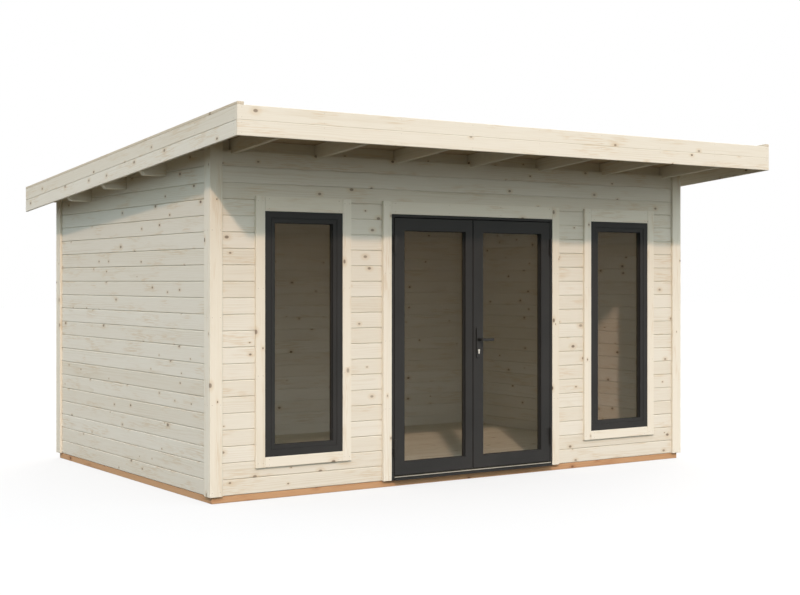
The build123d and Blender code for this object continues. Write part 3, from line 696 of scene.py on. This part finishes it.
# %% Felt
bitumen_felt, start = new_finish("bitumen_felt")
place = start.node("TexCoord", out="Object")
grit, patch = place.noise(240.0, 4.0), place.noise(1.3, 3.0)
rain = place.scaled(13.0, 0.7, 1.0).noise(1.0, 2.0)
sheet_tone = start.node("Attribute", {"attribute_name": "tone"}, out="Fac")
shade = (grit.between(0.3, 0.7) * 0.45 + sheet_tone * 0.25 + patch.between(0.3, 0.7) * 0.12
         + rain.between(0.35, 0.65) * 0.10)
close_finish(start, height=grit, relief=0.0012, Base_Color=shade.mix(rgb(54, 56, 57), rgb(112, 114, 113)),
             Roughness=0.84 + grit * 0.1, Specular_IOR_Level=0.2)
print("felt:", len(bitumen_felt.node_tree.nodes), "nodes")

# %% Glass
clear_glass, start = new_finish("clear_glass")
smear = start.node("TexCoord", out="Object").noise(2.0, 2.0)
close_finish(start, Base_Color=smear.mix((0.10, 0.075, 0.036, 1), (0.12, 0.09, 0.044, 1)),
             Roughness=0.02 + smear * 0.03, Alpha=0.11, IOR=1.5)
print("glass:", len(clear_glass.node_tree.nodes), "nodes")

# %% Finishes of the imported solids
finishes = {"anthracite_paint": anthracite_paint, "black_metal": black_metal, "lock_steel": lock_steel,
            "threshold_aluminium": aluminium, "bitumen_felt": bitumen_felt, "clear_glass": clear_glass}
for part in frame["record"]["subparts"]:
    if part["material_slot"] in finishes:
        node = frame["nodes"][part["node"]]
        node.data.materials.clear()
        node.data.materials.append(finishes[part["material_slot"]])
print("finishes:", sorted(finishes))

# %% [markdown]
# ## Beads and seals
# Each pane is held by a slim painted bead on both faces, and a soft seal closes the joint round each window
# sash. Four straight strips would need four mitres each, so one small outline goes once round a rectangle
# instead.

# %% Strips round a rectangle
def rings(name, rims, profile, body="shed"):
    """An outline (u, v) carried round each rim (x low, x high, z low, z high, face).

    A point lies at the rim's corner + inward * u in the front view, at the depth face + v.
    """
    x_low, x_high, z_low, z_high, face = np.array(rims).T[:, :, None, None]
    u, v = np.array(profile).T
    right, top = np.array([0, 1, 1, 0])[:, None], np.array([0, 0, 1, 1])[:, None]
    points = np.stack(np.broadcast_arrays(
        x_low + right * (x_high - x_low) + (1 - 2 * right) * u, face + v,
        z_low + top * (z_high - z_low) + (1 - 2 * top) * u), axis=-1)
    index = np.arange(points[..., 0].size).reshape(points.shape[:3])
    onward, around = np.roll(index, -1, axis=1), np.roll(index, -1, axis=2)
    faces = np.stack([index, around, np.roll(onward, -1, axis=2), onward], axis=-1).reshape(-1, 4)
    return surface(name, points.reshape(-1, 3), [faces], anthracite_paint, "anthracite_paint", body)


def rim(box, inset, face):
    """A box's outline in the front view, drawn in by the inset, at a face depth."""
    return (box[0].x + inset, box[1].x - inset, box[0].z + inset, box[1].z - inset, face)


# %% Beads and seals
hidden_edge = 0.0077
bead = np.array([(-0.0004, 0.0002), (-0.0004, -0.006), (0.0012, -0.006), (0.0028, -0.0045), (0.003, 0.0002)])
bead_homes = {"shed": ["left_window_glass", "right_window_glass"], "left_leaf": ["left_door_glass"],
              "right_leaf": ["right_door_glass"]}
for body, panes in bead_homes.items():
    boxes = [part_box(pane) for pane in panes]
    rings(body + "_outer_beads", [rim(box, hidden_edge, box[0].y) for box in boxes], bead, body)
    rings(body + "_inner_beads", [rim(box, hidden_edge, box[1].y) for box in boxes], bead * (1, -1), body)
sashes = [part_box("left_window_sash"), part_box("right_window_sash")]
joint = 0.0032
seal = [(-joint, 0.012), (-joint, 0.0012), (-joint / 2, 0.0006), (0.0003, 0.0012), (0.0003, 0.012)]
rings("sash_seals", [rim(box, 0.0, box[0].y) for box in sashes], seal)

# %% [markdown]
# ## Drip bar
# Under a door that opens outwards, a slim painted bar on the sill throws the rain clear of the beam below,
# and its shade darkens that beam. A plain strip would do, but a nose that thins towards its front edge sheds
# water, so the bar's upper side drops along its depth. It stays below the leaves and is as long as the sill.

# %% Drip bar under the door
sill_low, sill_high = map(np.array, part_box("door_sill"))
nose_reach, nose_height, nose_fall, seat = 0.028, 0.012, 0.004, 0.001
bar_low = np.array([sill_low[0], sill_low[1] - nose_reach, sill_low[2] + seat])
bar_high = np.array([sill_high[0], sill_low[1] + seat, sill_low[2] + seat + nose_height])


def shed_water(points):
    """Lowers the upper half: z falls by the nose's fall times the share of the reach in front of the sill."""
    points = points.copy()
    upper = points[..., 2] > (bar_low[2] + bar_high[2]) / 2
    points[..., 2] -= upper * nose_fall * (sill_low[1] - points[..., 1]) / nose_reach
    return points


boards("drip_bar", bar_low, bar_high, lying_x, eased(0.002), anthracite_paint, "anthracite_paint",
       ease=0.0012, warp=shed_water)

# %% [markdown]
# ## Roof felt
# Bitumen felt comes in rolls about a metre wide. The sheets lie along the roof, and each laps over the next
# one down the fall, so that water runs off. A flat sheet with painted lines would show no edge in low light,
# so each sheet is a thin board that is lifted at its lower end and nailed along the lap, with a strip turned
# down at the back.

# %% Sheets of felt
felt_low, felt_high = [corner[0] for corner in solid_boxes("roof_felt", sloped=True)]
sheet_count, sheet, lap, lap_ramp = 4, 0.0015, 0.075, 0.025
starts = np.linspace(felt_low[1], felt_high[1], sheet_count + 1)[:-1]
ends = np.append(starts[1:] + lap, felt_high[1])
every = np.ones(sheet_count)
lows = np.stack([every * felt_low[0], starts, every * (felt_high[2] - 2 * sheet)], axis=1)
highs = np.stack([every * felt_high[0], ends, every * felt_high[2]], axis=1)
stations = np.stack([starts, ends - lap - lap_ramp, ends - lap, ends], axis=1)
rise = np.outer(np.arange(sheet_count) < sheet_count - 1, [0.0, 0.0, sheet, sheet])
sheets = boards("felt_sheets", lows, highs, (1, 2, 0), eased(0.0004, 2), bitumen_felt, "bitumen_felt",
                stations=stations, drops=sheet - rise, lifts=rise, warp=slope)
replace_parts(sheets, "roof_felt")

# %% Turned-down strip, and a dark strip along each lap: bitumen bleed and painted shade
turn_low, turn_high = felt_low.copy(), felt_high.copy()
turn_low[1], turn_high[2] = felt_high[1] - 2 * sheet, felt_high[2] - sheet
turn_down = boards("felt_turn_down", turn_low, turn_high, lying_x, eased(0.0008), bitumen_felt,
                   "bitumen_felt", warp=slope)
# A dark strip just below each lap's edge is partly bitumen that bleeds from the lap, and partly painted shade
# of that edge.
lap_ends, bleed_and_shade_width, bleed_and_shade_under = ends[:-1], 0.008, 0.001
bleed_and_shade_foot = felt_high[2] - 1.6 * sheet
bleed_and_shade_lows = np.stack([every[1:] * felt_low[0], lap_ends - bleed_and_shade_under, every[1:] * bleed_and_shade_foot], axis=1)
bleed_and_shade_highs = bleed_and_shade_lows + (felt_high[0] - felt_low[0], bleed_and_shade_width, 1.2 * sheet)
boards("lap_bleed_and_shade", bleed_and_shade_lows, bleed_and_shade_highs, (0, 1, 2), eased(0.0008), black_metal, "bitumen_felt",
       warp=slope)
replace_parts(turn_down, "roof_felt")

# %% [markdown]
# ## Nails and screws
# Broad galvanised nails hold the felt, small bright ones the trim, and two screws hold each handle plate. A
# sphere on each would cost many faces, and at this size a head is only a low dome, so eight sides and two
# steps are enough. They are laid out in rows from the boards' boxes.

# %% Low domed heads
head_sides = 8


def studs(name, spots, normals, radius, height, finish, slot, body="shed"):
    """Rings of eight points that narrow as they rise: spot + normal * rise + radius * share * (cos, sin)."""
    spots, normals = np.asarray(spots, float), np.asarray(normals, float)
    first = np.cross(normals, np.where(np.abs(normals[:, 2:]) > 0.9, [[0.0, 1.0, 0.0]], [[0.0, 0.0, 1.0]]))
    first /= np.linalg.norm(first, axis=1, keepdims=True)
    second = np.cross(normals, first)
    turn = 2 * math.pi * np.arange(head_sides) / head_sides
    circle = np.cos(turn)[:, None] * first[:, None] + np.sin(turn)[:, None] * second[:, None]
    rises, shares = np.array([-1.0, 0.4, 1.0]) * height, np.array([1.0, 1.0, 0.6]) * radius
    points = (spots[:, None, None] + rises[:, None, None] * normals[:, None, None]
              + shares[:, None, None] * circle[:, None])
    index = np.arange(points[..., 0].size).reshape(points.shape[:3])
    around = np.roll(index, -1, axis=2)
    sides = np.stack([index[:, :-1], around[:, :-1], around[:, 1:], index[:, 1:]], axis=-1).reshape(-1, 4)
    return surface(name, points.reshape(-1, 3), [sides, index[:, 0, ::-1], index[:, -1]], finish, slot, body)


row_end = 0.03


def rows(lows, highs, axes, centre, pitch, inset, sloped=False):
    """Two rows of spots per board on the face turned away from the centre, and that face's normals."""
    along, wide, deep = axes
    spots, normals = [], []
    for low, high in zip(lows, highs):
        outward = 1.0 if low[deep] + high[deep] > 2 * centre[deep] else -1.0
        count = max(2, int(round((high[along] - low[along]) / pitch)) + 1)
        grid = np.zeros((2, count, 3))
        grid[..., along] = np.linspace(low[along] + row_end, high[along] - row_end, count)
        grid[..., wide] = np.array([[low[wide] + inset], [high[wide] - inset]])
        grid[..., deep] = high[deep] if outward > 0 else low[deep]
        spots.append(grid.reshape(-1, 3))
        normals.append(np.tile(outward * np.eye(3)[deep], (2 * count, 1)))
    spots = np.concatenate(spots)
    return slope(spots) if sloped else spots, np.concatenate(normals)


# %% Nails in the trim
nail_pitch, nail_inset, nail_radius, nail_height = 0.55, 0.016, 0.0026, 0.0005
body_middle = np.array([0.0, (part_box("front_back_corner_boards")[0].y + body_back) / 2, 1.2])
nailed = [("front_back_corner_boards", upright_x, False), ("side_corner_boards", upright_y, False),
          ("window_side_casings", upright_x, False), ("window_cross_casings", lying_x, False),
          ("door_side_casings", upright_x, False), ("door_head_casing", lying_x, False),
          ("front_fascia", lying_x, True), ("back_fascia", lying_x, True), ("barge_boards", lying_y, True)]
laid = [rows(*solid_boxes(node, sloped), axes, body_middle, nail_pitch, nail_inset, sloped)
        for node, axes, sloped in nailed]
studs("trim_nails", np.concatenate([s for s, n in laid]), np.concatenate([n for s, n in laid]), nail_radius,
      nail_height, lock_steel, "lock_steel")

# %% Nails in the felt
felt_margin, felt_nail_count, lap_inset, turn_inset = 0.04, 31, 0.02, 0.015
felt_nail_radius, felt_nail_height = 0.005, 0.0008
across = np.linspace(felt_low[0] + felt_margin, felt_high[0] - felt_margin, felt_nail_count)
lap_lines = (lap_ends - lap_inset)[:, None]
lap_spots = slope(np.stack(np.broadcast_arrays(across[None], lap_lines, felt_high[2]), axis=-1))
back_spots = slope(np.stack(np.broadcast_arrays(across, felt_high[1], felt_low[2] + turn_inset), axis=-1))
felt_spots = np.concatenate([lap_spots.reshape(-1, 3), back_spots])
felt_normals = np.repeat([[0.0, 0.0, 1.0], [0.0, 1.0, 0.0]], [lap_spots.size // 3, len(back_spots)], axis=0)
studs("felt_nails", felt_spots, felt_normals, felt_nail_radius, felt_nail_height, lock_steel, "lock_steel")

# %% Screws in the handle plates
screw_inset, screw_radius, screw_height = 0.011, 0.004, 0.001
plate_lows, plate_highs = solid_boxes("handle_plates")
plate_ends = np.stack([plate_lows[:, 2] + screw_inset, plate_highs[:, 2] - screw_inset])
outer = plate_lows[:, 1] < plate_lows[:, 1].mean()
plate_faces = np.where(outer, plate_lows[:, 1], plate_highs[:, 1])
plate_middles = (plate_lows + plate_highs)[:, 0] / 2
screw_spots = np.stack(np.broadcast_arrays(plate_middles, plate_faces, plate_ends), axis=-1)
screw_normals = np.tile(np.where(outer, -1.0, 1.0)[:, None] * [[0.0, 1.0, 0.0]], (2, 1))
studs("plate_screws", screw_spots.reshape(-1, 3), screw_normals, screw_radius, screw_height, black_metal,
      "black_metal", "right_leaf")

# %% [markdown]
# ## Key slots and their painted shade
# The lock's plug has a narrow slot at each end, which looks dark from the shade inside it. It could be a dark
# line in the finish, but that would blur from close by, so a thin dark bar on the plug's face paints that
# shade, with its place from the lock's box.

# %% Key slots, drawn as painted shade
lock_low, lock_high = map(np.array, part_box("lock_cylinder"))
plug_radius = (lock_high[0] - lock_low[0]) / 2
plug = np.array([(lock_low[0] + lock_high[0]) / 2, 0.0, lock_high[2] - plug_radius])
slot_half = np.array([0.0008, 0.0003, 0.0042])
slot_middles = np.stack([plug + (0, lock_low[1], 0), plug + (0, lock_high[1], 0)])
# The dark bars are painted shade of the slots' hollows.
boards("keyway_shade_bars", slot_middles - slot_half, slot_middles + slot_half, upright_x, eased(0.0002, 2),
       black_metal, "black_metal", body="right_leaf")
